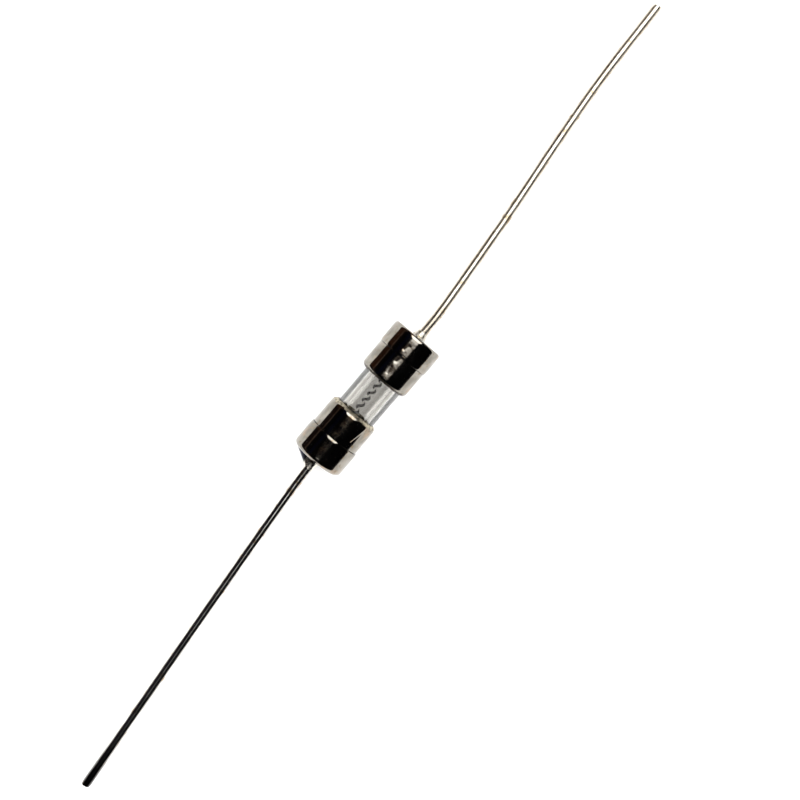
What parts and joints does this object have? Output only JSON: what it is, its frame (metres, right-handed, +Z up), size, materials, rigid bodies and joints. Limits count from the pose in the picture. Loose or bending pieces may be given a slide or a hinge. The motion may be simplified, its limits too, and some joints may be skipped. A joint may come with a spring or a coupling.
{
  "type": "cartridge fuse",
  "caption": "Miniature glass cartridge fuse for circuit boards: clear tube with a wound fuse wire, plated metal end caps and axial wire leads soldered to pressed-on lead caps.",
  "frame": {"origin": "on the surface that the fuse lies on, under the middle of its body", "axes": "+X along the body's axis towards the right lead, +Z up, away from the surface; the body's axis is 1.82 mm up"},
  "size_m": [0.063, 0.005, 0.0036],
  "materials": {
    "clear_glass": "polished",
    "nickel_plate": "gloss",
    "tinned_copper": "gloss",
    "solder": "satin",
    "fuse_alloy": "satin",
    "glass_fibre": "matte"
  },
  "bodies": {
    "root": {"glass_tube": "clear_glass", "end_cap_right": "nickel_plate", "end_cap_left": "nickel_plate", "lead_cap_right": "nickel_plate", "lead_cap_left": "nickel_plate", "lead_wire_right": "tinned_copper", "lead_wire_left": "tinned_copper", "solder_fillet_right": "solder", "solder_fillet_left": "solder", "solder_plug_right": "solder", "solder_plug_left": "solder", "fuse_wire": "fuse_alloy", "element_core": "glass_fibre"}
  },
  "joints": []
}
